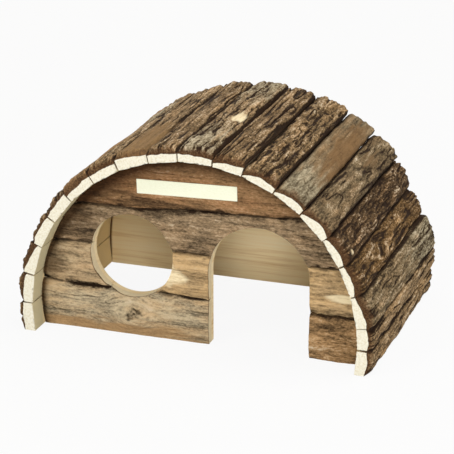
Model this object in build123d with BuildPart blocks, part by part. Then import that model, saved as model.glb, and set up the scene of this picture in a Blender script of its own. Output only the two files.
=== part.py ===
"""Half-round house for small animals, without a floor.

Two plywood end walls are faced with bark boards and carry a roof of bark slats laid edge to edge round
the arch. The front wall has a round window and an arched door. X runs to the right, Y to the rear and Z
up, in millimetres, from the middle of the floor.
"""

import os
from math import asin, cos, pi, sin, tan

from build123d import *

os.makedirs("parts", exist_ok=True)

# Arch and depth
arch_radius = 140.0
arch_centre_height = 22.5
front_overhang = 18.0
room_depth = 138.0
rear_overhang = 23.0

# Walls: plywood backing with crowned bark boards outside
backing_thickness = 5.0
board_edge_thickness = 7.5
board_crown = 2.0
board_gap = 0.8
board_wave = 0.9
board_wave_length = 85.0

# Board rows from the floor up, which share each wall's height: row height at the left and at the right end
front_rows = [(40.5, 39.5), (35.5, 39.5), (33.5, 42.5), (53.0, 41.0)]
rear_rows = [(36.5, 39.0), (39.5, 34.5), (38.0, 36.5), (48.5, 52.5)]

# Openings in the front wall
door_centre = 52.5
door_width = 86.5
door_spring_height = 64.8
window_centre = -58.0
window_height = 70.8
window_diameter = 73.0

# Name plate, glued to the top board just over its lower seam
plate_centre = -8.5
plate_rise = 18.5
plate_width = 86.0
plate_height = 12.2
plate_thickness = 0.8
plate_tilt = 1.5
plate_seat_depth = 0.5

# Roof slats, from the lower left round to the lower right: width, how much the left and right edges are
# thicker than the common thickness, the crown of the bark between them, and how much it gains at the rear
slat_thickness = 11.0
slat_stations = 8
slat_facets = 10
slat_rows = [
    (25.0, 0.0, 1.0, 2.8, 2.0),
    (25.0, 0.5, 0.5, 3.8, 2.5),
    (27.0, 1.5, 0.0, 1.8, 2.0),
    (26.5, -0.5, 0.5, 2.0, 2.0),
    (25.0, 0.5, 1.0, 1.6, 2.0),
    (27.0, 1.5, 1.5, 2.0, 0.5),
    (25.0, 1.5, 1.0, 2.2, 1.0),
    (27.5, 1.0, 0.5, 2.0, 1.0),
    (25.0, 0.0, -0.5, 2.2, 1.5),
    (28.5, 0.0, 0.0, 2.4, 1.5),
    (25.0, -2.0, 0.5, 2.8, 3.0),
    (28.5, -3.0, 0.0, 2.9, 4.0),
    (26.5, -2.5, 0.0, 2.8, 4.0),
    (27.0, -2.0, 0.5, 3.0, 4.5),
    (25.0, -1.0, 0.0, 2.6, 1.0),
    (25.5, -2.0, 0.5, 3.0, 1.5),
    (26.5, -1.0, 2.5, 3.2, 4.5),
    (18.0, 1.0, 0.5, 2.2, 5.0),
    (21.5, 0.5, -0.5, 2.4, 4.5),
]
slat_gap = 0.5
slat_seat_gap = 0.2
slat_flare = 0.85
slat_edge_wave = 0.6
slat_swell = 1.0
slat_front_stagger = 1.0
slat_rear_stagger = 6.0
foot_trim = 3.0

# Bark of a slat: how square its shoulders are, its ridges, and the slope where it has broken away at the ends
bark_shoulder = 3.0
bark_ridge = 0.6
bark_break_length = 3.5
bark_break_drop = 2.2

# Where each kind of slat irregularity starts in its run of phases
front_end_phase = 1
rear_end_phase = 2
left_edge_phase = 3
right_edge_phase = 10
swell_phase = 17
front_ridge_phase = 30
rear_ridge_phase = 60

# Brads of flat wire that hold each slat on both walls, driven below the bark
brad_width = 1.6
brad_wire = 1.4
brad_length = 27.0
brad_sink = 2.6
brad_clearance = 0.05

# Places that follow from the sizes above
board_thickness = board_edge_thickness + board_crown
wall_thickness = backing_thickness + board_thickness
slat_length = front_overhang + wall_thickness + room_depth + wall_thickness + rear_overhang
front_face = -slat_length / 2 + front_overhang
front_backing_face = front_face + board_thickness
room_front = front_backing_face + backing_thickness
room_rear = room_front + room_depth
rear_backing_face = room_rear + backing_thickness
rear_face = rear_backing_face + board_thickness
arch_top = arch_centre_height + arch_radius
arch_dip = asin(arch_centre_height / arch_radius)
arch_angle = pi + 2 * arch_dip
slat_width_sum = sum(row[0] for row in slat_rows)
seat_radius = arch_radius + slat_seat_gap
beyond_wall = 2 * arch_radius
turn_per_piece = 2.4


def waver(number, phase):
    """Steady irregularity between -1 and 1 for a piece, different for each phase."""
    return sin(number * turn_per_piece + phase * phase + phase)


def upright(y):
    """Vertical plane across the house at y, facing the front."""
    return Plane.XZ.offset(-y)


def arch_outline():
    """Round wall outline, cut off at the floor."""
    with Locations((0, arch_centre_height)):
        Circle(arch_radius)
    Rectangle(beyond_wall, beyond_wall, align=(Align.CENTER, Align.MAX), mode=Mode.SUBTRACT)


def cut_door_and_window():
    """Arched door standing on the floor, and round window."""
    with Locations((door_centre, 0)):
        Rectangle(door_width, door_spring_height, align=(Align.CENTER, Align.MIN), mode=Mode.SUBTRACT)
    with Locations((door_centre, door_spring_height)):
        Circle(door_width / 2, mode=Mode.SUBTRACT)
    with Locations((window_centre, window_height)):
        Circle(window_diameter / 2, mode=Mode.SUBTRACT)


def seam_heights(rows):
    """Height of each seam over a wall's rows, at the left and at the right end."""
    shares = [arch_top / sum(ends) for ends in zip(*rows)]
    seams = []
    left, right = 0, 0
    for left_height, right_height in rows[:-1]:
        left += left_height * shares[0]
        right += right_height * shares[1]
        seams.append((left, right))
    return seams


def seam_points(seam, shift, phase):
    """Points of a natural board edge that runs between the seam's two heights, moved up by shift."""
    left, right = seam
    steps = round(2 * beyond_wall / board_wave_length)
    points = []
    for step in range(steps + 1):
        x = -beyond_wall / 2 + beyond_wall * step / steps
        level = left + (right - left) * (x / arch_radius + 1) / 2
        points.append((x, level + shift + board_wave * waver(step, phase)))
    return points


def cut_beyond_seam(points, far_level):
    """Takes away what lies between a natural board edge and a far level."""
    with BuildLine() as border:
        Spline(*points)
        Polyline(points[-1], (points[-1][0], far_level), (points[0][0], far_level), points[0])
    make_face(border.edges(), mode=Mode.SUBTRACT)


def slat_angles():
    """Middle angle and angular span of each slat, from the lower left over the top to the lower right."""
    start = pi + arch_dip
    result = []
    for row in slat_rows:
        span = arch_angle * row[0] / slat_width_sum
        result.append((start - span / 2, span))
        start -= span
    return result


def slat_plane(angle, y):
    """Plane across a slat with its origin on the flat underside, X towards the next slat and Y outwards."""
    origin = (seat_radius * cos(angle), y, arch_centre_height + seat_radius * sin(angle))
    return Plane(origin=origin, x_dir=(sin(angle), 0, -cos(angle)), z_dir=(0, -1, 0))


def brad_locations(y):
    """One radial brad in the middle of each slat, measured from its inner tip, at the wall at y."""
    result = []
    for (angle, _), row in zip(slat_angles(), slat_rows):
        _, left_extra, right_extra, crown, rear_extra = row
        gain = rear_extra * (y / slat_length + 1 / 2)
        bark_top = seat_radius + slat_thickness + (left_extra + right_extra) / 2 + crown + gain
        tip = bark_top - brad_sink - brad_length
        outwards = (cos(angle), 0, sin(angle))
        origin = (tip * cos(angle), y, arch_centre_height + tip * sin(angle))
        result.append(Location(Plane(origin=origin, x_dir=(0, 1, 0), z_dir=outwards)))
    return result


front_brads = brad_locations(front_face + board_thickness / 2)
rear_brads = brad_locations(rear_face - board_thickness / 2)


def cut_brad_holes(brads, depth):
    """Holes for the brads' wire, from their inner tips outwards."""
    with Locations(*brads):
        Box(
            brad_width + 2 * brad_clearance,
            brad_wire + 2 * brad_clearance,
            depth,
            align=(Align.CENTER, Align.CENTER, Align.MIN),
            mode=Mode.SUBTRACT,
        )


def finish(piece, name):
    """Names a finished piece and writes it."""
    piece.label = name
    export_step(piece, f"parts/{name}.step")


# Plywood walls
with BuildPart() as front_backing:
    with BuildSketch(upright(room_front)):
        arch_outline()
        cut_door_and_window()
    extrude(amount=backing_thickness)
finish(front_backing.part, "front_wall_backing")

with BuildPart() as rear_backing:
    with BuildSketch(upright(rear_backing_face)):
        arch_outline()
    extrude(amount=backing_thickness)
finish(rear_backing.part, "rear_wall_backing")


def bark_board(seams, row, reach, backing_face, outwards, brads, pierced):
    """Bark board on a wall: flat at the back, crowned outside, with natural edges and brad holes.

    Row 0 stands on the floor, reach is the board's stretch of the wall from left to right, and outwards
    is the way that the bark faces along Y.
    """
    reach_left, reach_right = reach
    last = len(seams)
    low_seam = seams[row - 1] if row > 0 else None
    high_seam = seams[row] if row < last else None
    bottom = min(low_seam) - board_wave if low_seam else 0
    top = max(high_seam) + board_wave if high_seam else arch_top
    edge_face = backing_face + outwards * board_edge_thickness
    crown_face = backing_face + outwards * board_thickness
    with BuildPart() as board:
        with BuildSketch(Plane.YZ.offset(reach_left)):
            with BuildLine():
                Polyline((edge_face, bottom), (backing_face, bottom), (backing_face, top), (edge_face, top))
                ThreePointArc((edge_face, top), (crown_face, (bottom + top) / 2), (edge_face, bottom))
            make_face()
        extrude(amount=reach_right - reach_left)
        with BuildSketch(upright(crown_face)):
            arch_outline()
            if low_seam:
                cut_beyond_seam(seam_points(low_seam, board_gap / 2, row), -arch_radius)
            if high_seam:
                cut_beyond_seam(seam_points(high_seam, -board_gap / 2, row + 1), beyond_wall)
            if pierced:
                cut_door_and_window()
        extrude(amount=outwards * board_thickness, mode=Mode.INTERSECT)
        cut_brad_holes(brads, brad_length)
    return board


front_seams = seam_heights(front_rows)
rear_seams = seam_heights(rear_rows)
left_end = -arch_radius
right_end = arch_radius
whole_wall = (left_end, right_end)

# Bark boards of the front wall, row by row: the door and the window part the lower ones
bottom_boards = {
    "front_board_bottom_left": (left_end, door_centre),
    "front_board_bottom_right": (door_centre, right_end),
}
middle_boards = {
    "front_board_middle_left": (left_end, window_centre),
    "front_board_middle_centre": (window_centre, door_centre),
    "front_board_middle_right": (door_centre, right_end),
}
upper_boards = {"front_board_upper": whole_wall}
for row, boards in enumerate([bottom_boards, middle_boards, upper_boards]):
    for name, reach in boards.items():
        board = bark_board(front_seams, row, reach, front_backing_face, -1, front_brads, pierced=True)
        finish(board.part, name)

# Top board of the front wall, with a flat seat for the name plate
plate_level = sum(front_seams[-1]) / 2 + plate_rise
plate_seat = front_face + plate_seat_depth
top_row = len(front_seams)
top_board = bark_board(front_seams, top_row, whole_wall, front_backing_face, -1, front_brads, pierced=True)
with BuildPart() as seated_board:
    add(top_board.part)
    with BuildSketch(upright(plate_seat)):
        with Locations((plate_centre, plate_level)):
            Rectangle(plate_width, plate_height, rotation=plate_tilt)
    extrude(amount=plate_seat_depth, mode=Mode.SUBTRACT)
finish(seated_board.part, "front_board_top")

# Bark boards of the closed rear wall
for row, place in enumerate(["bottom", "middle", "upper", "top"]):
    board = bark_board(rear_seams, row, whole_wall, rear_backing_face, 1, rear_brads, pierced=False)
    finish(board.part, f"rear_board_{place}")

# Bare name plate
with BuildPart() as name_plate:
    with BuildSketch(upright(plate_seat)):
        with Locations((plate_centre, plate_level)):
            Rectangle(plate_width, plate_height, rotation=plate_tilt)
    extrude(amount=plate_thickness)
finish(name_plate.part, "name_plate")


def slat_places(front_end, rear_end):
    """Places along a slat: its ends, where the broken bark reaches full height, and even steps between."""
    first = front_end + bark_break_length
    last = rear_end - bark_break_length
    steps = slat_stations - 3
    between = [first + (last - first) * step / steps for step in range(steps + 1)]
    return [front_end, *between, rear_end]


def ridge(number, facet, along):
    """Height of a ridge of bark, or depth of a furrow, which changes slowly along the slat."""
    at_front = waver(facet, number + front_ridge_phase)
    at_rear = waver(facet, number + rear_ridge_phase)
    return bark_ridge * (at_front + (at_rear - at_front) * along)


def bark_points(left_corner, right_corner, crown, number, along):
    """Points of the bark top, from the right corner over the crown and its ridges to the left corner."""
    points = [right_corner]
    for facet in range(1, slat_facets):
        share = facet / slat_facets
        x = right_corner[0] + (left_corner[0] - right_corner[0]) * share
        level = right_corner[1] + (left_corner[1] - right_corner[1]) * share
        level += crown * (1 - abs(2 * share - 1) ** bark_shoulder)
        points.append((x, level + ridge(number, facet, along)))
    return points + [left_corner]


# Roof slats: slabs with a flat sawn underside and a crowned bark top, lofted along the house
for number, ((angle, span), row) in enumerate(zip(slat_angles(), slat_rows), start=1):
    _, left_extra, right_extra, crown, rear_extra = row
    half_width = seat_radius * tan(span / 2) - slat_gap / 2
    left_foot = foot_trim if number == 1 else 0
    right_foot = foot_trim if number == len(slat_rows) else 0
    flare = slat_flare * tan(span / 2)
    front_end = -slat_length / 2 + slat_front_stagger * (1 + waver(number, front_end_phase)) / 2
    rear_end = slat_length / 2 - slat_rear_stagger * (1 + waver(number, rear_end_phase)) / 2
    with BuildPart() as slat:
        for station, place in enumerate(slat_places(front_end, rear_end)):
            along = (place - front_end) / (rear_end - front_end)
            left_waver = (1 + waver(number, left_edge_phase + station)) / 2
            right_waver = (1 + waver(number, right_edge_phase + station)) / 2
            left = half_width - slat_edge_wave * left_waver + left_foot
            right = half_width - slat_edge_wave * right_waver + right_foot
            broken = bark_break_drop if place in (front_end, rear_end) else 0
            gain = (rear_extra + slat_swell * waver(number, swell_phase + station)) * along - broken
            left_top = slat_thickness + left_extra + gain
            right_top = slat_thickness + right_extra + gain
            left_corner = (-left - flare * left_top, left_top)
            right_corner = (right + flare * right_top, right_top)
            with BuildSketch(slat_plane(angle, place)):
                with BuildLine():
                    Polyline(left_corner, (-left, 0), (right, 0), right_corner)
                    Polyline(*bark_points(left_corner, right_corner, crown, number, along))
                make_face()
        loft(ruled=True)
        split(bisect_by=Plane.XY, keep=Keep.TOP)
        cut_brad_holes([front_brads[number - 1], rear_brads[number - 1]], 2 * brad_length)
    finish(slat.part, f"roof_slat_{number:02d}")

# Brads, one group for each wall
for name, brads in [("front_wall_brads", front_brads), ("rear_wall_brads", rear_brads)]:
    with BuildPart() as brad_group:
        with Locations(*brads):
            Box(brad_width, brad_wire, brad_length, align=(Align.CENTER, Align.CENTER, Align.MIN))
    finish(brad_group.part, name)
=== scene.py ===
"""Looks of the half-round bark house: bark slats and boards, sawn wood, plywood, plate, light and camera.

Meshes are worked out in millimetres and stored in metres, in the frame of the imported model.
"""

import math
from dataclasses import dataclass

import bmesh
import bpy
import numpy as np
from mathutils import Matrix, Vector, geometry
from mathutils.bvhtree import BVHTree


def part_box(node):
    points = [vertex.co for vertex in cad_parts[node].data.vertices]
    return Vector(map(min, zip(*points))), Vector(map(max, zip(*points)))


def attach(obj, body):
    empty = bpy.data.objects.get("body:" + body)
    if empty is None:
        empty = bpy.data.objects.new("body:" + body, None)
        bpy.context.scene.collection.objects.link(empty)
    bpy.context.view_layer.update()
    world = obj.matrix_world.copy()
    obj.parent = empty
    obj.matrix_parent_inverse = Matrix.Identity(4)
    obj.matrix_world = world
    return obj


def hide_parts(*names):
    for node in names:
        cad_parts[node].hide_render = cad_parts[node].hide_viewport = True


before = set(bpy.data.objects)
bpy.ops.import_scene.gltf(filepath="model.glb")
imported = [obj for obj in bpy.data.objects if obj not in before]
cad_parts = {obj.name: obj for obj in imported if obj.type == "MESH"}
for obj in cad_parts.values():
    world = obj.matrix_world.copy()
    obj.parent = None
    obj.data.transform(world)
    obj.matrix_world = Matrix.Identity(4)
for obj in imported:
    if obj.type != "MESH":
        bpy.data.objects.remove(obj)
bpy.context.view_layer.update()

MM = 0.001
ALONG = np.array([0.0, 1.0, 0.0])

# Camera of the photograph: degrees, millimetres and the lens on its sensor
CAMERA_AZIMUTH = 18.72
CAMERA_ELEVATION = 19.97
CAMERA_DISTANCE = 1507.8
CAMERA_TARGET = (-1.82, -4.0, 74.88)
CAMERA_LENS = 139.53
CAMERA_SENSOR = 36.0

# Mesh spacing, and the angle in degrees up to which faces shade smooth
COLUMN_STEP = 0.7
STATION_STEP = 1.15
BOARD_STEP = 0.8
BOARD_STRETCH = 1.6
SMOOTH_ANGLE = 48.0

# Layers of points in a slat, from its underside to its bark face
UNDER_LAYER = 0
BARK_LAYER = 3
FRINGE_LAYER = 4
FACE_LAYER = 5

# Bark: its line over the wood, its broken ends on slats, and the level that gives a slat's width
BARK_LINE_WIDTH = 0.16
BARK_BREAK = 3.6
WIDTH_LEVEL = 9.0

# Fringe at a slat's long edges: its reach with no slat beside it, and the level that gives its room
FRINGE = 0.8
FRINGE_LEVEL = 8.0

# Boards: bark at cut edges, crown of the face, and rows of points down the edges
BOARD_BARK = 1.7
BOARD_CROWN = 2.0
EDGE_ROWS = 3

# Reach of the painted shade in from the arch, and of the painted shade under the front ends of the slats
PAINTED_SHADE_REACH = 23.0
FRONT_OVERHANG = 20.0

# Step in the grain from one piece to the next, so that no two look alike
GRAIN_SHIFT = 300.0


@dataclass
class Relief:
    """Form of one kind of bark in millimetres: cracks between plates, flakes, streaks and roughness."""

    crack_spacing: float
    crack_length: float
    crack_width: float
    crack_depth: float
    flake_width: float
    flake_length: float
    flake_step: float
    streak_length: float
    streak_height: float
    roughness: float


FURROWED = Relief(6.0, 120.0, 1.5, 1.1, 7.0, 40.0, 0.3, 30.0, 0.6, 0.3)
PLATED = Relief(7.0, 60.0, 1.1, 0.8, 8.0, 18.0, 0.4, 12.0, 0.5, 0.35)
FLAKY = Relief(5.5, 50.0, 1.0, 0.7, 4.5, 17.0, 0.55, 14.0, 0.6, 0.4)
ROUGH = Relief(7.0, 80.0, 1.1, 0.7, 6.0, 22.0, 0.4, 18.0, 0.55, 0.35)
CRACKED = Relief(6.0, 100.0, 1.0, 0.7, 7.0, 26.0, 0.3, 20.0, 0.3, 0.3)
SMOOTH = Relief(9.0, 110.0, 0.5, 0.3, 12.0, 50.0, 0.12, 40.0, 0.15, 0.18)
WALL_ROUGH = Relief(7.0, 90.0, 0.6, 0.3, 7.0, 24.0, 0.3, 16.0, 0.18, 0.35)
WALL_PLATED = Relief(9.0, 110.0, 0.7, 0.35, 8.0, 34.0, 0.3, 18.0, 0.15, 0.3)


@dataclass
class Patch:
    """Ragged patch on the bark: its kind, its middle along and across the grain, its length and its width."""

    kind: str
    along: float
    across: float
    length: float
    width: float


def smoothstep(low, high, value):
    """0 below low, 1 above high and smooth between."""
    share = np.clip((value - low) / (high - low), 0, 1)
    return share * share * (3 - 2 * share)


def mix(low, high, share):
    """Value at a share of the way from low to high."""
    return low * (1 - share) + high * share


def between(left, right, share):
    """Value at a share across, from left at -1 to right at 1."""
    return left * (1 - share) / 2 + right * (1 + share) / 2


def lattice(column, row, seed):
    """Steady random value between 0 and 1 at each point of a lattice."""
    word = 0xFFFFFFFF
    half_word = 0xFFFF
    column_mix, row_mix, seed_mix, scatter = 374761393, 668265263, 144665, 1274126177
    mixed = (column * column_mix + row * row_mix + seed * seed_mix) & word
    mixed = ((mixed ^ (mixed >> 13)) * scatter) & word
    return ((mixed ^ (mixed >> 16)) & half_word) / half_word


def noise(x, y, seed):
    """Smooth noise between -1 and 1 over the plane."""
    column = np.floor(x).astype(np.int64)
    row = np.floor(y).astype(np.int64)
    right = smoothstep(0, 1, x - column)
    up = smoothstep(0, 1, y - row)
    low = mix(lattice(column, row, seed), lattice(column + 1, row, seed), right)
    high = mix(lattice(column, row + 1, seed), lattice(column + 1, row + 1, seed), right)
    return 2 * mix(low, high, up) - 1


def fractal(x, y, seed, octaves=4):
    """Noise summed over finer and finer octaves."""
    seed_step = 31
    total = np.zeros(np.shape(x))
    for octave in range(octaves):
        scale = 2**octave
        total = total + noise(x * scale, y * scale, seed + seed_step * octave) / scale
    return total


def terraces(value, steps):
    """Value in steps with steep risers, and 1 where a riser starts."""
    scaled = value * steps
    tread = np.floor(scaled)
    over = scaled - tread
    riser = smoothstep(0.55, 0.8, over) * (1 - smoothstep(0.85, 1.0, over))
    return tread + smoothstep(0.75, 1.0, over), riser


def crack_distance(across, along, form, seed):
    """Distance in millimetres to the nearest crack of a net that follows the grain."""

    def net(shift_across, shift_along):
        x = (across + shift_across) / form.crack_spacing
        return fractal(x, (along + shift_along) / form.crack_length, seed, 2)

    shift = 0.3
    least_slope = 0.04
    value = net(0, 0)
    slope = np.hypot(net(shift, 0) - value, net(0, shift) - value) / shift
    return np.abs(value) / np.maximum(slope, least_slope)


def bark_relief(across, along, form, seed):
    """Height of the bark over its mean level, in millimetres, and how deep in a crack each point lies, with
    painted shade at the foot of each flake step.
    """
    bend_across = 1.3
    bend_along = 4.0
    flake_layers = 2.0
    streak_width = 2.2
    bent_across = across + bend_across * fractal(across / 9, along / 24, seed)
    bent_along = along + bend_along * fractal(across / 12, along / 30, seed + 1)
    gape = form.crack_width * smoothstep(-0.7, 0.7, fractal(across / 9, along / 26, seed + 3, 2))
    distance = crack_distance(bent_across, bent_along, form, seed + 2)
    crack = 1 - smoothstep(0.1, 1.0, distance / np.maximum(gape, 0.05))
    field = fractal(bent_across / form.flake_width, bent_along / form.flake_length, seed + 4, 3)
    flake, riser = terraces(field, flake_layers)
    streak = fractal(bent_across / streak_width, bent_along / form.streak_length, seed + 7, 2)
    rough = fractal(across / 3.4, along / 7.5, seed + 5)
    height = form.flake_step * flake + form.roughness * rough
    height = height + form.streak_height * streak - form.crack_depth * crack
    hollow = smoothstep(0.25, 0.85, -streak) * min(1, 1.5 * form.streak_height)
    # Painted shade at the foot of each flake step, under the flake's edge
    deep = np.maximum(crack * min(1, 0.2 + 0.8 * form.crack_depth), 0.5 * riser * form.flake_step)
    return height, np.maximum(deep, hollow)


def patch_reach(across, along, patch):
    """Distance from a patch's middle, 1 on its rim."""
    return np.hypot((along - patch.along) / patch.length, (across - patch.across) / patch.width) * 2


def patch_share(across, along, patch, seed):
    """1 inside a patch, 0 outside, with a ragged edge that is sharper round bare wood."""
    rim = 0.9
    ragged, soft = (0.25, 0.3) if patch.kind == "bare" else (0.45, 0.5)
    reach = patch_reach(across, along, patch) + ragged * fractal(across / 2.5, along / 22, seed)
    return 1 - smoothstep(rim - soft, rim + soft, reach)


def round_knots(across, along, patches):
    """Places across the grain, where the grain parts round each knot."""
    parted = 0.75
    for patch in patches:
        if patch.kind == "knot":
            parting = 1 - parted * np.exp(-0.5 * patch_reach(across, along, patch) ** 2)
            across = patch.across + (across - patch.across) * parting
    return across


def press_knot(height, deep, across, along, patch, seed):
    """Bark with a knot in it: a swollen rim, broken rings and a dark heart."""
    rim_height = 0.7
    ring_depth = 0.6
    ring_waves = 13
    reach = patch_reach(across, along, patch) + 0.3 * fractal(across / 7, along / 9, seed + 40)
    broken = 0.5 + 0.9 * fractal(across / 3, along / 4, seed + 41, 2)
    rings = np.cos(ring_waves * reach) * np.exp(-1.3 * reach**2) * broken
    heart = np.exp(-3.5 * reach**2) * (0.6 + 0.5 * broken)
    height = height + rim_height * np.exp(-6 * (reach - 1) ** 2) - ring_depth * rings
    return height, np.maximum(deep * smoothstep(0, 0.9, reach), 0.6 * rings + heart)


def dress_bark(across, along, form, patches, seed):
    """Relief of a bark face, its depth in cracks, and the shares of what lies on it."""
    dark_patch = 0.7
    bare_depth = 0.9
    peel_depth = 0.5
    height, deep = bark_relief(round_knots(across, along, patches), along, form, seed)
    coat = {kind: np.zeros(np.shape(height)) for kind in ("bare", "peel", "lichen", "painted_shade")}
    for number, patch in enumerate(patches):
        if patch.kind == "knot":
            height, deep = press_knot(height, deep, across, along, patch, seed)
            continue
        share = patch_share(across, along, patch, seed + 50 + number)
        # On a knot a dark patch is its dark heart; on the front boards it is painted shade in the seam of the
        # top and upper boards
        if patch.kind == "dark":
            deep = np.maximum(deep, dark_patch * share)
        else:
            coat[patch.kind] = np.maximum(coat[patch.kind], share)
    stripped = np.maximum(coat["bare"], coat["peel"])
    fine = 0.12 * fractal(across / 3, along / 20, seed + 9)
    sunk = fine - bare_depth * coat["bare"] - peel_depth * coat["peel"]
    return mix(height, sunk, stripped), deep * (1 - stripped), coat


def new_object(name, data):
    """Object in the scene."""
    made = bpy.data.objects.new(name, data)
    bpy.context.scene.collection.objects.link(made)
    return made


def add_piece(name, mesh, material, node):
    """Puts a mesh on the root body, in the place of a CAD node."""
    mesh.materials.append(material)
    piece = new_object(name, mesh)
    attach(piece, "root")
    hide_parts(node)


def new_piece(name, points, faces, marks, material, node):
    """Piece from points in millimetres, with its marks as point attributes."""
    mesh = bpy.data.meshes.new(name)
    mesh.from_pydata(points * MM, [], faces)
    for mark, values in marks.items():
        kind, field = ("FLOAT_VECTOR", "vector") if np.ndim(values) == 2 else ("FLOAT", "value")
        attribute = mesh.attributes.new(mark, kind, "POINT")
        attribute.data.foreach_set(field, np.ascontiguousarray(values, np.float32).ravel())
    mesh.validate()
    mesh.shade_smooth()
    mesh.set_sharp_from_angle(angle=math.radians(SMOOTH_ANGLE))
    add_piece(name, mesh, material, node)


def node_mesh(name):
    """Points in millimetres and triangles of a CAD node."""
    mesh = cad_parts[name].data
    points = np.zeros(len(mesh.vertices) * 3, np.float32)
    mesh.vertices.foreach_get("co", points)
    faces = [tuple(face.vertices) for face in mesh.polygons]
    return points.reshape(-1, 3).astype(float) / MM, faces


def node_box(name):
    """Lowest and highest corner of a CAD node in millimetres."""
    low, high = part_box(name)
    return np.array(low) / MM, np.array(high) / MM


# Arch that the slats lie on, read from the rear wall
wall_low, wall_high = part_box("rear_wall_backing")
ARCH_RADIUS = (wall_high.x - wall_low.x) / 2 / MM
ARCH_CENTRE = np.array([0.0, 0.0, wall_high.z / MM - ARCH_RADIUS])


class Slab:
    """A roof slat's solid in its own axes: across to the next slat, along the house, out from the arch."""

    side_levels = (1.0, 4.5)
    stations = 13
    columns = np.linspace(-0.98, 0.98, 29)

    def __init__(self, name):
        points, faces = node_mesh(name)
        moved = points - ARCH_CENTRE
        self.out = self.underside_direction(points, faces, moved.mean(axis=0))
        self.across = np.cross(ALONG, self.out)
        self.base = (moved @ self.out).min()
        local = np.stack([moved @ self.across, moved[:, 1], moved @ self.out - self.base], axis=1)
        self.tree = BVHTree.FromPolygons([Vector(p) for p in local], faces)
        self.front = local[:, 1].min()
        self.rear = local[:, 1].max()
        self.read_sections()

    @staticmethod
    def underside_direction(points, faces, middle):
        """Outward direction, square to the largest face that looks at the arch's axis."""
        most_tilt = 0.1
        best = np.zeros(3)
        for face in faces:
            a, b, c = points[list(face)]
            square = np.cross(b - a, c - a)
            if square @ middle < 0 and abs(square[1]) < most_tilt and square @ square > best @ best:
                best = square
        return -best / np.linalg.norm(best)

    def to_world(self, across, along, out):
        return (
            ARCH_CENTRE
            + np.multiply.outer(across, self.across)
            + np.multiply.outer(along, ALONG)
            + np.multiply.outer(out + self.base, self.out)
        )

    def side(self, along, level, way):
        """Where the solid ends across, at a level over its underside, to the left (-1) or right (1)."""
        clear_of_brad = 4.0
        hit = self.tree.ray_cast(Vector((way * clear_of_brad, along, level)), Vector((way, 0, 0)))
        return hit[0].x

    def read_sections(self):
        """Side lines and bark heights at stations along the slat."""
        inset = 0.3
        inner = np.linspace(self.front + BARK_BREAK, self.rear - BARK_BREAK, self.stations - 2)
        self.places = np.array([self.front + inset, *inner, self.rear - inset])
        low, high = self.side_levels
        self.edges = {}
        for way in (-1, 1):
            near = np.array([self.side(place, low, way) for place in self.places])
            far = np.array([self.side(place, high, way) for place in self.places])
            slope = (far - near) / (high - low)
            self.edges[way] = (near - slope * low, slope)
        above = 60.0
        self.tops = np.zeros((self.stations, len(self.columns)))
        for row, place in enumerate(self.places):
            left, right = self.span(place, WIDTH_LEVEL)
            for column, share in enumerate(self.columns):
                across = left + (right - left) * (share + 1) / 2
                hit = self.tree.ray_cast(Vector((across, place, above)), Vector((0, 0, -1)))
                self.tops[row, column] = hit[0].z if hit[0] else 0.0
        self.mend_tops()

    def mend_tops(self):
        """Takes levels from columns beside, where a ray missed the solid or fell into a brad's hole."""
        most_drop = 6.0
        for levels in self.tops:
            sound = levels > np.median(levels) - most_drop
            levels[:] = np.interp(self.columns, self.columns[sound], levels[sound])

    def edge(self, along, level, way):
        """Side line at a level over the underside, on the left (-1) or right (1)."""
        start, slope = self.edges[way]
        return np.interp(along, self.places, start) + np.interp(along, self.places, slope) * level

    def span(self, along, level):
        """Side lines on the left and on the right."""
        return self.edge(along, level, -1), self.edge(along, level, 1)

    def room(self, other, way, along):
        """Room across to the slab on the left (-1) or right (1), at the fringe's level."""
        level = np.full(np.shape(along), FRINGE_LEVEL)
        here = self.to_world(self.edge(along, level, way), along, level)
        there = other.to_world(other.edge(along, level, -way), along, level)
        return way * (there - here) @ self.across

    def top(self, share, along):
        """Level of the solid's bark face at a share across (-1 to 1) and a place along."""
        row = np.interp(along, self.places, np.arange(self.stations))
        column = np.interp(share, self.columns, np.arange(len(self.columns)))
        row_low = np.minimum(row.astype(int), self.stations - 2)
        column_low = np.minimum(column.astype(int), len(self.columns) - 2)
        right = column - column_low
        near = mix(self.tops[row_low, column_low], self.tops[row_low, column_low + 1], right)
        far = mix(self.tops[row_low + 1, column_low], self.tops[row_low + 1, column_low + 1], right)
        return mix(near, far, row - row_low)


def quads(grid):
    """Faces over a grid of point numbers."""
    corners = np.stack([grid[:-1, :-1], grid[1:, :-1], grid[1:, 1:], grid[:-1, 1:]], axis=-1)
    return [tuple(face) for face in corners.reshape(-1, 4).tolist()]


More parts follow.
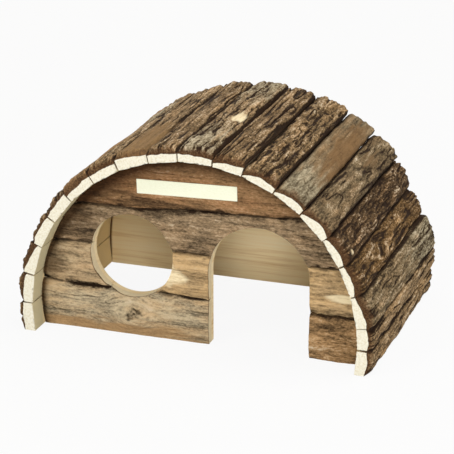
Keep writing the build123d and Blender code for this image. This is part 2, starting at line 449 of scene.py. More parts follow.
class SlabGrid:
    """Points and faces of a closed slab: a ring at each station along, and a grid over each end."""

    def __init__(self, columns, stations):
        self.columns = columns
        self.stations = stations
        right = [(columns - 1, layer) for layer in range(FACE_LAYER)]
        over = [(column, FACE_LAYER) for column in range(columns - 1, -1, -1)]
        left = [(0, layer) for layer in range(FACE_LAYER - 1, -1, -1)]
        self.ring = right + over + left
        self.cap = [(column, layer) for layer in range(FACE_LAYER) for column in range(1, columns - 1)]

    def points(self):
        """Column, layer and station of every point."""
        rows = [(*place, station) for station in range(self.stations) for place in self.ring]
        for station in (0, self.stations - 1):
            rows += [(*place, station) for place in self.cap]
        return np.array(rows).T

    def faces(self):
        """Point numbers of every face: sides and top, both ends, and flat strips below."""
        rings = np.arange(self.stations * len(self.ring)).reshape(self.stations, -1)
        front = self.cap_grid(rings[0], rings.size)
        rear = self.cap_grid(rings[-1], rings.size + len(self.cap))
        feet = [front[UNDER_LAYER], *rings[1:-1, [-1, 0]], rear[UNDER_LAYER]]
        strips = [(*near[::-1].tolist(), *far.tolist()) for near, far in zip(feet, feet[1:])]
        return quads(rings) + quads(front.T) + [face[::-1] for face in quads(rear.T)] + strips

    def cap_grid(self, ring, first):
        """Point numbers over one end, layer by column."""
        grid = np.zeros((FACE_LAYER + 1, self.columns), int)
        numbers = [*ring, *range(first, first + len(self.cap))]
        for (column, layer), number in zip(self.ring + self.cap, numbers):
            grid[layer, column] = number
        return grid


def slat_face(slab, width, share, along, across, form, patches, seed):
    """Relief of a slat's bark face, worn round at its long edges with painted shade there, and what lies on
    it.
    """
    wear_reach = 2.4
    shade_reach = 1.7
    edge_shade = 0.8
    height, deep, coat = dress_bark(across, along - slab.front, form, patches, seed)
    to_edge = (1 - np.abs(share)) * width / 2
    wear = 0.7 + 0.5 * noise(along / 9, share * 3, seed + 12)
    height = height - wear * (1 - smoothstep(0, wear_reach, to_edge)) ** 2
    # Painted shade along the long edges, at the grooves between slats
    deep = np.maximum(deep, edge_shade * (1 - smoothstep(0, shade_reach * wear, to_edge)))
    return height, deep, coat


def slat_levels(slab, layer, share, along, across, height, wood, seed):
    """Levels of a slat's points over its underside, and how far up through the bark they lie."""
    least_wood = 1.2
    least_bark = 3.4
    wood_left, wood_right, bulge = wood
    line = between(wood_left, wood_right, share) + bulge * (1 - share**2)
    line = line + 0.6 * fractal(across / 7, along / 30, seed + 13)
    unbroken = np.clip(along, slab.front + BARK_BREAK, slab.rear - BARK_BREAK)
    line = np.clip(line, least_wood, slab.top(share, unbroken) - least_bark)
    top = np.maximum(slab.top(share, along) + height, line + 0.5)
    half_line = BARK_LINE_WIDTH / 2
    levels = [np.zeros(len(top)), line / 2, line - half_line, line + half_line, (line + top) / 2, top]
    out = np.stack(levels)[layer, np.arange(len(top))]
    bark_share = np.clip((out - line) / np.maximum(top - line, 0.1), 0, 1) * (layer >= BARK_LAYER)
    return out, bark_share


def slat_ends(slab, layer, advance, across, out, bark_share, seed):
    """Places along and levels: ends sawn square, chipped in front, bark broken back in a slope."""
    fuzz_depth = 0.18
    chip_height = 0.9
    at_front = advance == 0
    which_end = np.sign(advance - 0.5) * 7.0
    broken = 1.0 + 0.8 * fractal(across / 5, which_end, seed + 14)
    broken = np.maximum(broken, 0.2) * bark_share
    fuzz = fuzz_depth * fractal(across / 2.0, out / 2.0, seed + 15) * at_front
    chip = chip_height * np.maximum(fractal(across / 2.2, out, seed + 18, 2), 0)
    start = slab.front + broken + np.abs(fuzz)
    end = slab.rear - broken
    return start + (end - start) * advance, out + chip * at_front * (layer == UNDER_LAYER)


def slat_across(slab, beside, layer, share, along, out, bark_share, seed):
    """Places across: a waver in the bark's edges, and a fringe about half way to the next slat."""
    waver = 0.35 * (1 + fractal(along / 11, share * 2, seed + 16)) * bark_share
    half_room = np.full(len(share), FRINGE)
    for way, other in beside.items():
        half_room = np.where(share * way > 0, slab.room(other, way, along) / 2, half_room)
    ragged = np.minimum(0.95 + 0.2 * fractal(along / 6, share * 2, seed + 20), 1.05)
    drawn_in = np.where(layer == FRINGE_LAYER, -half_room * ragged, waver) * np.abs(share) ** 6
    left, right = slab.span(along, out)
    return between(left + drawn_in, right - drawn_in, share)


def make_slat(name, slab, beside, form, patches, wood, seed, material):
    """Bark slat over its CAD solid: sawn wood below, bark above, and a ragged bark edge at both ends.

    It needs the slabs beside it, and the wood's height at its left and right edge and its bulge between.
    """
    # Points of the slat as it was sawn
    left, right = slab.span(0.0, WIDTH_LEVEL)
    width = right - left
    length = slab.rear - slab.front
    grid = SlabGrid(round(width / COLUMN_STEP) + 1, round(length / STATION_STEP) + 1)
    column, layer, station = grid.points()
    share = 2 * column / (grid.columns - 1) - 1
    advance = station / (grid.stations - 1)
    sawn_along = slab.front + length * advance
    from_front = sawn_along - slab.front
    from_rear = slab.rear - sawn_along
    sawn_across = between(*slab.span(sawn_along, WIDTH_LEVEL), share)

    # Bark, broken ends and wavering edges
    height, deep, coat = slat_face(slab, width, share, sawn_along, sawn_across, form, patches, seed)
    out, bark_share = slat_levels(slab, layer, share, sawn_along, sawn_across, height, wood, seed)
    along, out = slat_ends(slab, layer, advance, sawn_across, out, bark_share, seed)
    across = slat_across(slab, beside, layer, share, along, out, bark_share, seed)
    points = slab.to_world(across, along, out)
    points[:, 2] = np.maximum(points[:, 2], 0)

    # Marks: where bark, sawn wood, underside and inner bark show, and painted shade under the front overhang
    # A slat's sides are mostly not sawn-coloured: their bark takes the full crack tone and their wood mostly
    # the bark's tone, partly bark wrapping down and partly painted shade in the grooves between slats
    end_deep, edge_deep = 0.75, 1.0
    end_sawn, edge_sawn = 1.0, 0.1
    end_inner, edge_inner = 0.6, 0.2
    front_shade_edge = 4.0
    in_bark = layer >= BARK_LAYER
    on_face = layer == FACE_LAYER
    at_end = (advance == 0) | (advance == 1)
    below = (layer == UNDER_LAYER) & ~at_end
    # Painted shade on the underside where it overhangs the front wall
    front_shade = 1 - smoothstep(FRONT_OVERHANG - front_shade_edge, FRONT_OVERHANG, from_front)
    to_end = np.minimum(from_front, from_rear) + 1.8 * fractal(sawn_across / 4, along / 4, seed + 17)
    end_bark = 0.5 + 0.5 * noise(sawn_across / 8, along / 30, seed + 19)
    end_bark = end_bark * (1 - smoothstep(0.2, 3.4, to_end))
    grain = np.stack([from_front, round_knots(across, from_front, patches), out], axis=1)
    marks = {
        "grain": grain + GRAIN_SHIFT * seed,
        "deep": np.where(on_face, deep, np.where(at_end, end_deep, edge_deep) * in_bark),
        "relief": np.where(in_bark, height, 0),
        "sawn": np.where(in_bark, 0, np.where(at_end | below, end_sawn, edge_sawn)),
        "under": below * 1.0,
        "underside_shade": below * front_shade,
        "inner": np.where(on_face, end_bark, np.where(at_end, end_inner, edge_inner)),
    }
    for kind, values in coat.items():
        marks[kind] = values * in_bark
    new_piece(f"{name}_bark", points, grid.faces(), marks, material, name)


def face_outline(name, way):
    """Ordered outlines (x, z) of a node's flat face that looks along Y in the given way."""
    points, faces = node_mesh(name)
    plane = points[:, 1].max() if way > 0 else points[:, 1].min()
    off_plane = 0.01
    keys = [tuple(np.round(point, 3)) for point in points]
    borders = {}
    for face in faces:
        if np.abs(points[list(face), 1] - plane).max() > off_plane:
            continue
        for a, b in zip(face, face[1:] + face[:1]):
            if (keys[b], keys[a]) in borders:
                del borders[keys[b], keys[a]]
            else:
                borders[keys[a], keys[b]] = True
    following = {}
    for a, b in borders:
        following.setdefault(a, []).append(b)
    loops = []
    while following:
        loop = []
        here = next(iter(following))
        while here in following:
            loop.append((here[0], here[2]))
            ways = following[here]
            there = ways.pop()
            if not ways:
                del following[here]
            here = there
        loops.append(np.array(loop))
    return loops


def divide(loop, step):
    """The same closed outline with points no further apart than step."""
    result = []
    for start, end in zip(loop, np.roll(loop, -1, axis=0)):
        parts = max(1, math.ceil(np.linalg.norm(end - start) / step))
        result += [start + (end - start) * part / parts for part in range(parts)]
    return np.array(result)


def inside(points, loop):
    """Which points lie inside a closed outline."""
    result = np.zeros(len(points), bool)
    for (x0, z0), (x1, z1) in zip(loop, np.roll(loop, -1, axis=0)):
        if z0 == z1:
            continue
        crosses = (points[:, 1] >= min(z0, z1)) & (points[:, 1] < max(z0, z1))
        result ^= crosses & (points[:, 0] < x0 + (points[:, 1] - z0) * (x1 - x0) / (z1 - z0))
    return result


def nearest(points, targets):
    """Distance from each point to the nearest of some targets."""
    chunk = 2000
    parts = np.array_split(points, len(points) // chunk + 1)
    squares = [((part[:, None] - targets) ** 2).sum(axis=2).min(axis=1) for part in parts]
    return np.sqrt(np.concatenate(squares))


def fill(loop, step):
    """Points of an outline and inside it, triangles over them, and which points are the outline's."""
    row_share = 0.87
    edge_share = 0.6
    closest = 1e-5
    low = loop.min(axis=0)
    high = loop.max(axis=0)
    rows = np.arange(low[1], high[1], step * row_share)
    seeds = []
    for number, z in enumerate(rows):
        x = np.arange(low[0] + step / 2 * (number % 2), high[0], step)
        seeds.append(np.stack([x, np.full(len(x), z)], axis=1))
    seeds = np.concatenate(seeds)
    seeds = seeds[inside(seeds, loop)]
    seeds = seeds[nearest(seeds, loop) > edge_share * step]
    count = len(loop)
    edges = [(number, (number + 1) % count) for number in range(count)]
    flat = [Vector(point) for point in np.concatenate([loop, seeds])]
    points, _, triangles, sources, _, _ = geometry.delaunay_2d_cdt(flat, edges, [], 1, closest)
    ring = np.zeros(count, int)
    for number, origins in enumerate(sources):
        for origin in origins:
            if origin < count:
                ring[origin] = number
    return np.array(points), [tuple(triangle) for triangle in triangles], ring


def turned_left(loop):
    """The outline with its inside on the left."""
    area = (loop[:, 0] * np.roll(loop[:, 1], -1) - np.roll(loop[:, 0], -1) * loop[:, 1]).sum()
    return loop if area > 0 else loop[::-1]


def inward(loop):
    """Directions square to an outline, into it."""
    run = np.roll(loop, -1, axis=0) - np.roll(loop, 1, axis=0)
    square = np.stack([-run[:, 1], run[:, 0]], axis=1)
    return square / np.linalg.norm(square, axis=1)[:, None]


def under_plate(x, z, face, back):
    """Levels the bark under the name plate and keeps it below the plate's face close by."""
    clearance = 0.05
    low, high = node_box("name_plate")
    beyond_x = np.maximum(low[0] - x, x - high[0])
    beyond_z = np.maximum(low[2] - z, z - high[2])
    beyond = np.maximum(beyond_x, beyond_z)
    seat = back - high[1]
    allowed = seat - clearance + 0.5 * smoothstep(-1.0, 1.0, beyond) + 4.0 * smoothstep(1.0, 9.0, beyond)
    return np.minimum(face, allowed)


def arch_painted_shade(x, z):
    """Painted shade along the arch, under the overhanging slats, which reaches further in at the top and
    towards the left.
    """
    radius = np.hypot(x - ARCH_CENTRE[0], np.maximum(z - ARCH_CENTRE[2], 0))
    by_height = 0.3 + 0.7 * smoothstep(40.0, 130.0, z)
    by_side = 1 - 0.45 * smoothstep(-20.0, 90.0, x)
    reach = PAINTED_SHADE_REACH * by_height * by_side
    return smoothstep(0, 1, 1 - (ARCH_RADIUS - radius) / reach)


def board_wear(flat, seams, seed):
    """How far the points of a board's face are worn, 1 right at the seams."""
    wear_reach = 4.0
    if len(seams) == 0:
        return np.zeros(len(flat))
    x, z = flat.T
    to_seam = nearest(flat, seams) + 1.8 * fractal(x / 6, z / 3, seed + 8)
    return (1 - smoothstep(0, wear_reach, to_seam)) ** 2


def board_edges(loop, natural, rim, thickness, seed):
    """Levels of the rows down a board's edges: above and below the bark line, and at the back."""
    natural_bark = 0.8
    half_line = BARK_LINE_WIDTH / 2
    x, z = loop.T
    bark = BOARD_BARK * (1 + 0.3 * fractal(x / 8, z / 8, seed + 5))
    line = rim - np.where(natural, natural_bark * thickness, bark)
    return [np.maximum(line + half_line, 0.4), np.maximum(line - half_line, 0.2), np.zeros(len(x))]


def make_board(name, form, patches, seed, material):
    """Bark board of an end wall: bark face, natural edges at the seams, sawn ones where the wall is cut."""
    at_front = name.startswith("front")
    way = -1 if at_front else 1
    wall = "front_wall_backing" if at_front else "rear_wall_backing"
    low, high = node_box(name)
    back = high[1] if at_front else low[1]
    thickness = high[1] - low[1]

    # Outline with its natural edges, and the points within it
    clear_of_cut = 1.2
    clear_of_foot = 2.0
    stretch = np.array([BOARD_STRETCH, 1.0])
    outline = max(face_outline(name, -way), key=len)
    loop = turned_left(divide(outline / stretch, BOARD_STEP)) * stretch
    cut = np.concatenate([divide(border, BOARD_STEP) for border in face_outline(wall, -way)])
    natural = (nearest(loop, cut) > clear_of_cut) & (loop[:, 1] > clear_of_foot)
    flat, triangles, ring = fill(loop / stretch, BOARD_STEP)
    flat = flat * stretch

    # Bark face: crowned, worn round at natural edges with painted shade in the seams, and painted shade along
    # the arch and in patches
    wear_depth = 1.5
    seam_shade = 1.3
    patch_shade_weight = 0.75
    arch_shade_weight = 1.2
    x, z = flat.T
    height, deep, coat = dress_bark(z, x, form, patches, seed)
    worn = board_wear(flat, loop[natural], seed)
    seam = np.clip(0.6 + 0.8 * fractal(x / 24, z / 24, seed + 7, 2), 0.1, 1)
    # Painted shade in the seams between boards, darkest where the face is worn round
    deep = np.maximum(deep, seam_shade * seam * worn**2)
    # Painted shade under the overhanging slats: a band along the arch, and patches on the left
    coat["painted_shade"] = np.maximum(patch_shade_weight * coat["painted_shade"], arch_shade_weight * arch_painted_shade(x, z))
    middle = (low[2] + high[2]) / 2
    half = (high[2] - low[2]) / 2
    face = thickness - BOARD_CROWN * ((z - middle) / half) ** 2 + height - wear_depth * worn
    if name == "front_board_top":
        face = under_plate(x, z, face, back)

    # Points of the face, drawn in a little at natural edges, then of the rows down the edges
    draw = 0.25
    edge_x, edge_z = loop.T
    pull = np.where(natural, draw * (1 + fractal(edge_x / 7, edge_z / 7, seed + 6)), 0)
    drawn = flat.copy()
    drawn[ring] += inward(loop) * pull[:, None]
    levels = board_edges(loop, natural, face[ring], thickness, seed)
    rows = [np.column_stack([drawn[:, 0], face, drawn[:, 1]])]
    rows += [np.column_stack([edge_x, level, edge_z]) for level in levels]
    points = np.concatenate(rows)
    points[:, 1] = back + way * points[:, 1]

    # Faces: the bark face, closed strips down the edges, and the back
    down = len(flat) + np.arange(EDGE_ROWS * len(loop)).reshape(EDGE_ROWS, -1)
    strips = np.vstack([ring, down])
    faces = triangles + quads(np.column_stack([strips, strips[:, 0]])) + [tuple(down[-1][::-1].tolist())]
    if not at_front:
        faces = [face[::-1] for face in faces]

    def spread(on_face, *on_rows):
        """Values on the bark face, then one value for each row down the edges."""
        return np.concatenate([on_face] + [np.full(len(loop), value) for value in on_rows])

    # Marks: where bark, sawn wood and inner bark show
    nothing = np.zeros(len(flat))
    grain_across = round_knots(points[:, 2], points[:, 0], patches)
    marks = {
        "grain": np.stack([points[:, 0], grain_across, points[:, 1]], axis=1) + GRAIN_SHIFT * seed,
        "deep": spread(deep, 0.4, 0.4, 0.4),
        "relief": spread(height, 0.0, 0.0, 0.0),
        "sawn": spread(nothing, 0.0, 1.0, 1.0),
        "under": spread(nothing, 0.0, 0.5, 0.5),
        "inner": spread(nothing, 0.6, 0.6, 0.6),
    }
    for kind, values in coat.items():
        marks[kind] = spread(values, 0.0, 0.0, 0.0)
    new_piece(f"{name}_bark", points, faces, marks, material, name)


def make_plate(material):
    """Bare card of the name plate, with softened edges."""
    mesh = bpy.data.meshes.new("name_plate_card")
    work = bmesh.new()
    work.from_mesh(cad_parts["name_plate"].data)
    bmesh.ops.remove_doubles(work, verts=work.verts, dist=0.01 * MM)
    bmesh.ops.dissolve_limit(work, angle_limit=math.radians(1), verts=work.verts, edges=work.edges)
    bmesh.ops.bevel(work, geom=work.edges[:], offset=0.22 * MM, segments=3, profile=0.5, affect="EDGES")
    work.to_mesh(mesh)
    work.free()
    add_piece("name_plate_card", mesh, material, "name_plate")


def colour(red, green, blue):
    """Linear colour from display values of 0 to 255."""
    shown = np.array([red, green, blue]) / 255
    linear = np.where(shown <= 0.04045, shown / 12.92, ((shown + 0.055) / 1.055) ** 2.4)
    return (*linear.tolist(), 1.0)


def shaded(tone, factor):
    """The same tone, lighter or darker."""
    return tuple(part * factor for part in tone[:3]) + (1.0,)


class Nodes:
    """Adds and joins the nodes of a material or a world."""

    def __init__(self, tree):
        self.tree = tree

    def add(self, kind, inputs=(), **settings):
        """New node: settings are its properties, inputs are pairs of a socket and a value or an output."""
        made = self.tree.nodes.new("ShaderNode" + kind)
        for key, value in settings.items():
            setattr(made, key, value)
        for key, value in inputs:
            self.feed(made.inputs[key], value)
        return made

    def feed(self, socket, value):
        """Joins an output to a socket, or sets the socket to a constant."""
        if isinstance(value, bpy.types.NodeSocket):
            self.tree.links.new(value, socket)
        else:
            socket.default_value = value

    def maths(self, operation, *values):
        return self.add("Math", list(enumerate(values)), operation=operation).outputs[0]

    def vectors(self, operation, *values):
        return self.add("VectorMath", list(enumerate(values)), operation=operation).outputs

    def mixed(self, share, first, second):
        return self.add("MixShader", [(0, share), (1, first), (2, second)]).outputs[0]


class Shader(Nodes):
    """A new material's nodes, ending in one principled shader."""

    def __init__(self, name):
        self.material = bpy.data.materials.new(name)
        self.material.use_nodes = True
        super().__init__(self.material.node_tree)
        self.surface = self.tree.nodes["Principled BSDF"]

    def mark(self, name):
        """Value of a point attribute."""
        return self.add("Attribute", attribute_name=name).outputs["Fac"]

    def weighted(self, total, *terms):
        """Sum of a constant and of values, each times its weight."""
        for value, weight in terms:
            total = self.maths("MULTIPLY_ADD", value, weight, total)
        return total

    def speckle(self, place, scale, detail=4.0, rough=0.6):
        """Noise about 0, with its own number of waves per unit of place on each axis."""
        scaled = self.vectors("MULTIPLY", place, scale)[0]
        inputs = [("Vector", scaled), ("Scale", 1.0), ("Detail", detail), ("Roughness", rough)]
        return self.maths("SUBTRACT", self.add("TexNoise", inputs).outputs[0], 0.5)

    def blend(self, share, under, over, mode="MIX"):
        """Colour between two others, by the colour sockets of a mix node."""
        inputs = [(0, share), (6, under), (7, over)]
        return self.add("Mix", inputs, data_type="RGBA", blend_type=mode).outputs[2]

    def ramp(self, value, *stops):
        """Colour by value through stops of a place and a colour."""
        made = self.add("ValToRGB", [("Fac", value)])
        elements = made.color_ramp.elements
        while len(elements) < len(stops):
            elements.new(1.0)
        for element, (place, tone) in zip(elements, stops):
            element.position = place
            element.color = tone
        return made.outputs[0]

    def finish(self, base, roughness, bump, strength, depth):
        """Feeds the shader: base colour, roughness, and a bump that is depth millimetres high."""
        self.feed(self.surface.inputs["Base Color"], base)
        self.surface.inputs["Roughness"].default_value = roughness
        self.surface.inputs["Specular IOR Level"].default_value = 0.12
        inputs = [("Strength", strength), ("Distance", depth * MM), ("Height", bump)]
        self.feed(self.surface.inputs["Normal"], self.add("Bump", inputs).outputs[0])
        return self.material


# Tones that all barks share, from the outside in to the wood
CRACK = colour(38, 24, 13)
BRIGHT = colour(208, 194, 170)
LICHEN = colour(164, 154, 128)
# Painted shade, multiplied over the bark under the overhanging slats
PAINTED_SHADE_TONE = colour(112, 100, 88)
INNER_BARK = colour(112, 80, 52)
INNER_BARK_DARK = colour(58, 40, 27)
BARE = colour(236, 220, 184)
BARE_DARK = colour(186, 152, 100)
SAWN = colour(234, 231, 216)
SAWN_DARK = colour(208, 197, 164)
UNDERSIDE = colour(244, 219, 167)
# Painted shade on the underside under the front overhang
FRONT_UNDERSIDE_SHADE = colour(205, 195, 160)

# Tones of the other pieces
PLYWOOD = colour(251, 231, 188)
PLYWOOD_DARK = colour(222, 190, 138)
PLYWOOD_LIGHT = colour(253, 239, 203)
PLYWOOD_GAP_SHADE = colour(96, 66, 40)
STEEL = colour(176, 176, 178)
STEEL_DARK = colour(120, 120, 122)
CARD = colour(239, 243, 223)
CARD_DARK = colour(230, 233, 209)


def bark_material(name, middle, stain, contrast):
    """Bark that is dark in its cracks, with peeled, bare and lichen patches, inner bark and sawn wood."""
    shader = Shader(name)
    place = shader.add("Attribute", attribute_name="grain").outputs["Vector"]
    fibre = shader.speckle(place, (0.06, 0.5, 0.5), 5.0, 0.65)
    fleck = shader.speckle(place, (0.35, 0.7, 0.7), 6.0, 0.7)
    blotch = shader.speckle(place, (0.025, 0.09, 0.09), 3.0)
    band = shader.speckle(place, (0.01, 0.24, 0.24), 3.0)

    # Outer bark by its shade, stained in blotches and grey with lichen
    shade = shader.weighted(
        0.57,
        (shader.mark("relief"), 0.15),
        (shader.mark("deep"), -0.16 - 0.3 * contrast),
        (fibre, 0.8 * contrast),
        (fleck, 1.35 * contrast),
        (blotch, 0.3),
        (band, 0.6 * (1 - contrast)),
    )
    deepest = (0.18, CRACK)
    dark = (0.38, shaded(middle, 0.5))
    light = (0.62, shaded(middle, 1.5))
    brightest = (0.88, BRIGHT)
    tone = shader.ramp(shade, deepest, dark, (0.5, middle), light, brightest)
    stained = shader.blend(shader.weighted(0.25, (blotch, 2.5)), tone, stain, "COLOR")
    grey = shader.ramp(shade, deepest, dark, (0.62, LICHEN), brightest)
    patchy = shader.maths("MULTIPLY", shader.mark("lichen"), shader.weighted(0.8, (fleck, 1.2)))
    outer = shader.blend(patchy, stained, grey)

    # Peeled bark, inner bark and bare wood, with painted shade over all
    peel_shade = shader.weighted(0.5, (fibre, 0.9), (fleck, 0.8))
    inner_shade = shader.weighted(0.5, (fleck, 1.8))
    bare_shade = shader.weighted(0.55, (fibre, 0.6), (fleck, 0.3))
    peeled = shader.ramp(peel_shade, (0.3, shaded(stain, 0.65)), (0.62, shaded(stain, 1.15)))
    inner = shader.ramp(inner_shade, (0.25, INNER_BARK_DARK), (0.7, INNER_BARK))
    bare = shader.ramp(bare_shade, (0.35, BARE_DARK), (0.55, BARE))
    base = outer
    for kind, over in (("peel", peeled), ("inner", inner), ("bare", bare)):
        base = shader.blend(shader.mark(kind), base, over)
    # Painted shade of the overhanging slats, multiplied over the bark
    base = shader.blend(shader.mark("painted_shade"), base, PAINTED_SHADE_TONE, "MULTIPLY")

    # Sawn wood, warmer underneath, with painted shade on the underside under the front overhang
    sawn_shade = shader.weighted(0.55, (fibre, 0.8), (fleck, 0.5))
    sawn = shader.ramp(sawn_shade, (0.3, SAWN_DARK), (0.6, SAWN))
    sawn = shader.blend(shader.mark("under"), sawn, UNDERSIDE)
    sawn = shader.blend(shader.mark("underside_shade"), sawn, FRONT_UNDERSIDE_SHADE)
    base = shader.blend(shader.mark("sawn"), base, sawn)
    return shader.finish(base, 0.9, shader.weighted(0.0, (fibre, 0.6), (fleck, 0.8)), 0.7, 0.8)


def arch_gap_shade(shader, place):
    """1 at the curved edge of a wall, where shade is painted for the dark gap that the slats close, and 0
    from a little further in.
    """
    gap = 2.4
    from_centre = shader.vectors("SUBTRACT", place, ARCH_CENTRE * MM)[0]
    above = shader.vectors("MAXIMUM", from_centre, (-1, -1, 0))[0]
    flat = shader.vectors("MULTIPLY", above, (1, 0, 1))[0]
    radius = shader.vectors("LENGTH", flat)["Value"]
    limits = [("From Min", (ARCH_RADIUS - gap) * MM), ("From Max", (ARCH_RADIUS - gap / 3) * MM)]
    return shader.add("MapRange", [("Value", radius), *limits]).outputs[0]


def plywood_material():
    """Pale plywood with a fine level grain, and painted shade for the dark gap at the arch."""
    shader = Shader("plywood")
    place = shader.add("TexCoord").outputs["Object"]
    grain = shader.speckle(place, (14.0, 60.0, 420.0), 5.0)
    cloud = shader.speckle(place, (5.0, 5.0, 90.0), 3.0)
    shade = shader.weighted(0.53, (grain, 1.0), (cloud, 0.8))
    base = shader.ramp(shade, (0.2, PLYWOOD_DARK), (0.5, PLYWOOD), (0.8, PLYWOOD_LIGHT))
    # Painted shade for the dark gap where the slats meet the arch
    base = shader.blend(arch_gap_shade(shader, place), base, PLYWOOD_GAP_SHADE)
    return shader.finish(base, 0.8, grain, 0.25, 0.2)


def steel_material():
    """Drawn steel wire, slightly dull."""
    shader = Shader("brad_steel")
    place = shader.add("TexCoord").outputs["Object"]
    drawn = shader.speckle(place, (900.0, 900.0, 900.0), 3.0)
    base = shader.ramp(shader.weighted(0.5, (drawn, 0.8)), (0.3, STEEL_DARK), (0.7, STEEL))
    shader.surface.inputs["Metallic"].default_value = 1.0
    return shader.finish(base, 0.4, drawn, 0.1, 0.05)


def card_material():
    """Cream card, bare, with a faint fibre."""
    shader = Shader("plate_card")
    place = shader.add("TexCoord").outputs["Object"]
    fibre = shader.speckle(place, (500.0, 500.0, 900.0), 4.0)
    base = shader.ramp(shader.weighted(0.5, (fibre, 0.6)), (0.3, CARD_DARK), (0.6, CARD))
    return shader.finish(base, 0.55, fibre, 0.1, 0.05)


# Barks: middle tone, the stain that lies over it, and contrast
BARK_TONES = {
    "brown": ((128, 106, 77), (136, 108, 73), 1.0),
    "bistre": ((112, 91, 64), (122, 96, 64), 1.0),
    "grey": ((110, 94, 69), (119, 96, 67), 1.0),
    "dark": ((87, 68, 46), (93, 70, 45), 1.0),
    "ochre": ((99, 76, 48), (108, 81, 46), 1.0),
    "russet": ((117, 96, 68), (121, 95, 63), 1.0),
    "dun": ((109, 93, 69), (118, 95, 67), 0.75),
    "drab": ((119, 104, 80), (120, 93, 62), 0.5),
    "tan": ((138, 110, 77), (139, 109, 74), 0.7),
    "straw": ((165, 140, 104), (168, 138, 96), 0.35),
    "rosy": ((128, 99, 69), (128, 93, 62), 0.5),
    "umber": ((126, 107, 83), (129, 106, 79), 0.65),
    "fawn": ((152, 133, 104), (154, 127, 94), 0.5),
    "pale": ((158, 144, 118), (164, 134, 96), 0.5),
}

# Slats from the lower left to the lower right: bark's form and tones, wood's heights and bulge, patches
SLATS = [
    (ROUGH, "brown", (8.5, 8.0, 1.2), []),
    (PLATED, "brown", (7.5, 7.5, 1.6), []),
    (PLATED, "dark", (10.0, 3.5, 0.6), []),
    (ROUGH, "brown", (9.0, 7.0, 1.0), [Patch("peel", 90, 2, 60, 16)]),
    (FURROWED, "grey", (7.5, 8.5, 0.3), []),
    (SMOOTH, "tan", (5.5, 7.0, 0.6), [Patch("peel", 120, -2, 80, 16)]),
    (ROUGH, "brown", (7.0, 7.0, 0.3), [Patch("lichen", 150, 0, 80, 20)]),
    (FURROWED, "brown", (9.5, 7.2, 0.3), [Patch("peel", 25, 2, 110, 34)]),
    (FURROWED, "bistre", (7.0, 6.8, 0.2), []),
    (
        PLATED,
        "brown",
        (6.0, 5.0, 0.8),
        [Patch("lichen", 20, 0, 95, 44), Patch("lichen", 190, 0, 90, 44), Patch("bare", 92, 6, 24, 11)],
    ),
    (FURROWED, "bistre", (3.8, 7.2, 0.8), []),
    (FLAKY, "russet", (1.5, 5.2, 3.0), []),
    (WALL_PLATED, "drab", (1.5, 5.2, 3.0), [Patch("lichen", 20, 0, 90, 40), Patch("peel", 118, 5, 150, 22)]),
    (ROUGH, "dun", (2.4, 5.2, 4.0), [Patch("peel", 150, -2, 30, 10)]),
    (FLAKY, "dark", (3.4, 4.8, 2.6), [Patch("bare", 12, 8, 5, 5)]),
    (ROUGH, "ochre", (4.0, 3.5, 2.6), [Patch("knot", 68, 0, 24, 17), Patch("dark", 68, 0, 13, 10)]),
    (CRACKED, "grey", (3.5, 8.5, 1.5), [Patch("lichen", 185, 0, 110, 34)]),
    (FURROWED, "brown", (8.0, 8.0, 1.2), []),
    (ROUGH, "brown", (8.0, 8.0, 1.2), []),
]

# Boards of the two walls: bark's form and tones, and patches placed by x and height
# Patches of painted shade lie on the left of the front boards, near the arch under the overhanging slats
BOARDS = {
    # The dark patches where the top and upper boards meet are painted shade in that seam
    "front_board_top": (
        SMOOTH,
        "rosy",
        [Patch("painted_shade", -88, 128, 70, 26), Patch("dark", -42, 118, 84, 8)],
    ),
    "front_board_upper": (
        WALL_ROUGH,
        "umber",
        [Patch("painted_shade", -122, 98, 64, 40), Patch("dark", -42, 114, 84, 8)],
    ),
    "front_board_middle_left": (WALL_ROUGH, "fawn", [Patch("painted_shade", -132, 60, 30, 40)]),
    "front_board_middle_centre": (
        SMOOTH,
        "straw",
        [Patch("bare", -20, 57, 24, 13), Patch("bare", -25, 60, 9, 26)],
    ),
    "front_board_middle_right": (WALL_ROUGH, "straw", [Patch("bare", 124, 56, 28, 7)]),
    "front_board_bottom_left": (
        WALL_PLATED,
        "pale",
        [Patch("knot", -57, 20, 24, 26), Patch("peel", -70, 3, 170, 16)],
    ),
    "front_board_bottom_right": (WALL_ROUGH, "tan", []),
    "rear_board_top": (WALL_ROUGH, "brown", []),
    "rear_board_upper": (WALL_PLATED, "grey", []),
    "rear_board_middle": (SMOOTH, "tan", [Patch("peel", 30, 56, 120, 20)]),
    "rear_board_bottom": (WALL_PLATED, "pale", [Patch("knot", 40, 18, 18, 13)]),
}

barks = {}
for name, (middle, stain, contrast) in BARK_TONES.items():
    barks[name] = bark_material(f"bark_{name}", colour(*middle), colour(*stain), contrast)

slabs = {number: Slab(f"roof_slat_{number:02d}") for number in range(1, len(SLATS) + 1)}
for number, (form, tones, wood, patches) in enumerate(SLATS, start=1):
    beside = {way: slabs[number + way] for way in (-1, 1) if number + way in slabs}
    make_slat(f"roof_slat_{number:02d}", slabs[number], beside, form, patches, wood, number, barks[tones])
for number, (name, (form, tones, patches)) in enumerate(BOARDS.items(), start=len(SLATS) + 1):
    make_board(name, form, patches, number, barks[tones])
make_plate(card_material())

# Finishes of the CAD pieces that stay
for kind, material in (("backing", plywood_material()), ("brads", steel_material())):
    for wall in ("front_wall", "rear_wall"):
        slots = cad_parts[f"{wall}_{kind}"].data.materials
        slots.clear()
        slots.append(material)

# Floor: its reach in metres, how far it lies below the house, its tone and the share of its own glow
FLOOR_REACH = 4.0
FLOOR_GAP = 0.2
FLOOR_TONE = (0.6, 0.6, 0.6, 1)
FLOOR_GLOW = 0.92

# Light of the world, and the white that shows behind the house
WHITE = (1, 1, 1, 1)
WORLD_TINT = (1.0, 0.98, 0.95, 1)
WORLD_STRENGTH = 0.24

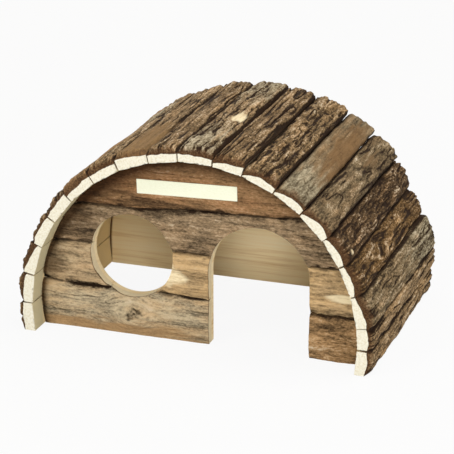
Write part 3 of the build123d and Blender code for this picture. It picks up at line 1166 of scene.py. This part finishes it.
# Soft lamps: place and aim in metres, size in metres and power in watts
LAMP_TINT = (1.0, 0.97, 0.92)
LAMPS = {
    "key": ((-0.85, -1.1, 1.7), (0, 0, 0.08), 0.6, 9.5),
    "left": ((-0.8, -1.72, 0.4), (0, 0, 0.06), 0.5, 11),
    "front": ((0.6, -1.78, 0.7), (0, 0, 0.08), 0.6, 6),
    "side": ((1.4, -1.1, 0.5), (0, 0, 0.08), 0.6, 12),
    "back": ((-0.7, 1.7, 0.9), (0, 0, 0.08), 0.8, 7),
    "top": ((0.65, 0.2, 1.8), (0, 0, 0.1), 1.0, 21),
}


def background_share(nodes):
    """1 for rays that show the background itself: from the camera, in gloss and through glass."""
    rays = nodes.add("LightPath").outputs
    total = rays["Is Camera Ray"]
    for name in ("Is Glossy Ray", "Is Transmission Ray"):
        total = nodes.maths("MAXIMUM", total, rays[name])
    return total


def floor_material():
    """White that glows where it is seen, and still takes a soft part of the house's shadow."""
    material = bpy.data.materials.new("floor_white")
    material.use_nodes = True
    nodes = Nodes(material.node_tree)
    nodes.tree.nodes.clear()
    diffuse = nodes.add("BsdfDiffuse", [("Color", FLOOR_TONE)]).outputs[0]
    glow = nodes.add("Emission", [("Color", WHITE), ("Strength", 1.0)]).outputs[0]
    share = nodes.maths("MULTIPLY", background_share(nodes), FLOOR_GLOW)
    nodes.add("OutputMaterial", [("Surface", nodes.mixed(share, diffuse, glow))])
    return material


def make_floor():
    """Wide flat floor under the house."""
    level = -FLOOR_GAP * MM
    corners = [(x * FLOOR_REACH, y * FLOOR_REACH, level) for x, y in ((-1, -1), (1, -1), (1, 1), (-1, 1))]
    mesh = bpy.data.meshes.new("floor")
    mesh.from_pydata(corners, [], [(0, 1, 2, 3)])
    mesh.materials.append(floor_material())
    floor = new_object("floor", mesh)


def make_world():
    """White behind the object, and a softer white light on it."""
    world = bpy.data.worlds.new("studio")
    bpy.context.scene.world = world
    world.use_nodes = True
    nodes = Nodes(world.node_tree)
    nodes.tree.nodes.clear()
    light = nodes.add("Background", [("Color", WORLD_TINT), ("Strength", WORLD_STRENGTH)]).outputs[0]
    white = nodes.add("Background", [("Color", WHITE), ("Strength", 1.0)]).outputs[0]
    nodes.add("OutputWorld", [("Surface", nodes.mixed(background_share(nodes), light, white))])


def make_lamp(name, place, aim, size, power):
    """Square soft lamp."""
    lamp = bpy.data.lights.new(name, "AREA")
    lamp.size = size
    lamp.energy = power
    lamp.color = LAMP_TINT
    holder = new_object(name, lamp)
    holder.location = place
    holder.rotation_mode = "QUATERNION"
    holder.rotation_quaternion = (Vector(aim) - Vector(place)).to_track_quat("-Z", "Y")


def make_camera():
    """Camera at the photograph's angle."""
    azimuth = math.radians(CAMERA_AZIMUTH)
    elevation = math.radians(CAMERA_ELEVATION)
    level = math.cos(elevation)
    back = Vector((math.sin(azimuth) * level, -math.cos(azimuth) * level, math.sin(elevation)))
    data = bpy.data.cameras.new("camera")
    data.lens = CAMERA_LENS
    data.sensor_width = CAMERA_SENSOR
    camera = new_object("camera", data)
    camera.location = (Vector(CAMERA_TARGET) + back * CAMERA_DISTANCE) * MM
    camera.rotation_mode = "QUATERNION"
    camera.rotation_quaternion = (-back).to_track_quat("-Z", "Y")
    bpy.context.scene.camera = camera


make_floor()
make_world()
for name, (place, aim, size, power) in LAMPS.items():
    make_lamp(name, place, aim, size, power)
make_camera()
bpy.context.scene.view_settings.view_transform = "Standard"
